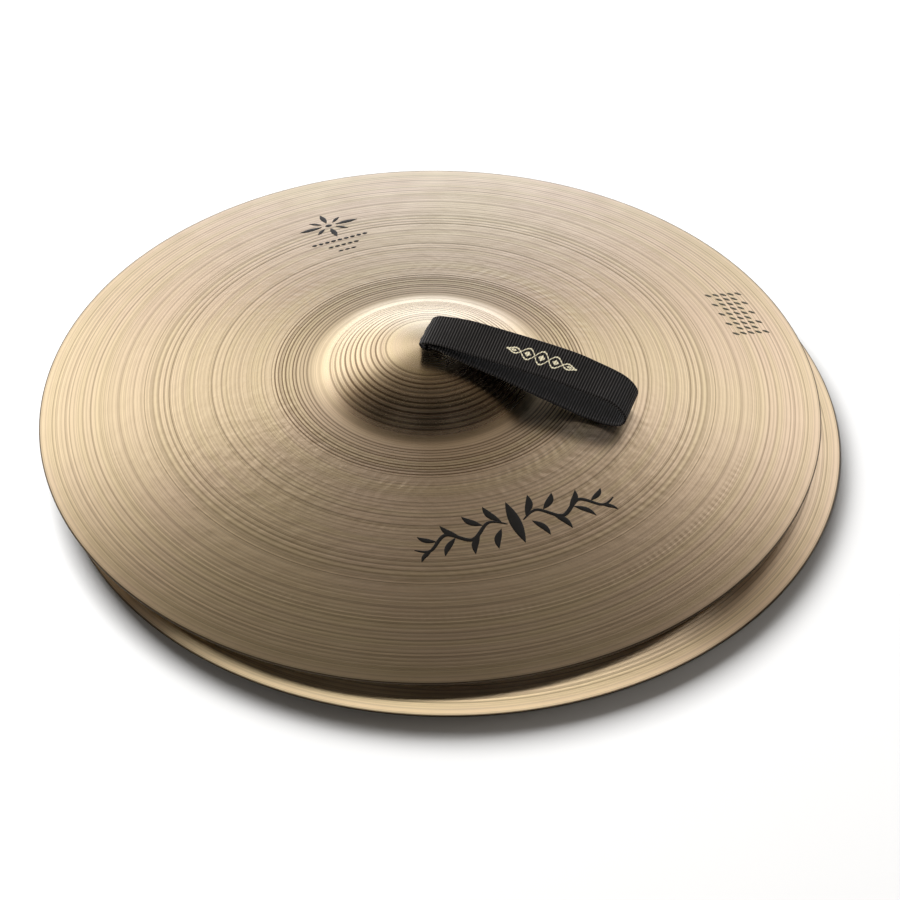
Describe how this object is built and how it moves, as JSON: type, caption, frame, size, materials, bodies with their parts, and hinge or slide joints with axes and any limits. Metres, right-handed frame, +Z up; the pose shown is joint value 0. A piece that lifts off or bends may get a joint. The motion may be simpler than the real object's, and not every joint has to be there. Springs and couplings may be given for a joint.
{
  "type": "hand cymbals",
  "caption": "Pair of orchestral bronze hand cymbals stacked bell up, each with a black webbing hand strap knotted through the bell.",
  "frame": {"origin": "on the table under the stack, midway between the two cymbals' axes", "axes": "+Z up out of the bells, +X along the upper cymbal's strap from its hole"},
  "size_m": [0.5232, 0.5132, 0.0812],
  "materials": {
    "bronze": "lathed and lacquered bronze",
    "webbing": "ribbed nylon webbing"
  },
  "bodies": {
    "lower_cymbal": {"lower_cymbal": "bronze", "lower_strap_neck": "webbing", "lower_strap_knot": "webbing", "lower_tail_left": "webbing", "lower_tail_right": "webbing"},
    "lower_loop": {"lower_hand_loop": "webbing"},
    "upper_cymbal": {"upper_cymbal": "bronze"},
    "upper_strap": {"upper_strap_neck": "webbing", "upper_strap_knot": "webbing", "upper_tail_left": "webbing", "upper_tail_right": "webbing"},
    "upper_loop": {"upper_hand_loop": "webbing"}
  },
  "joints": [
    {"name": "upper_lift", "type": "slide", "parent": "lower_cymbal", "child": "upper_cymbal", "axis": [0, 0, 1], "range_m": [0, 0.3]},
    {"name": "upper_strap_swivel", "type": "hinge", "parent": "upper_cymbal", "child": "upper_strap", "pos_m": [-0.0076, 0.0026, 0.06801], "axis": [0, 0, 1], "continuous": true},
    {"name": "upper_strap_swing", "type": "hinge", "parent": "upper_strap", "child": "upper_loop", "pos_m": [-0.0076, 0.0026, 0.07451], "axis": [0, -1, 0], "range_deg": [0, 105]},
    {"name": "lower_strap_swing", "type": "hinge", "parent": "lower_cymbal", "child": "lower_loop", "pos_m": [0.0076, -0.0026, 0.05751], "axis": [0.9462, -0.3237, 0], "range_deg": [0, 75]}
  ],
  "couplings": [
    {"joint": "lower_strap_swing", "follows": "upper_lift", "rad_per_m": 4.36}
  ]
}
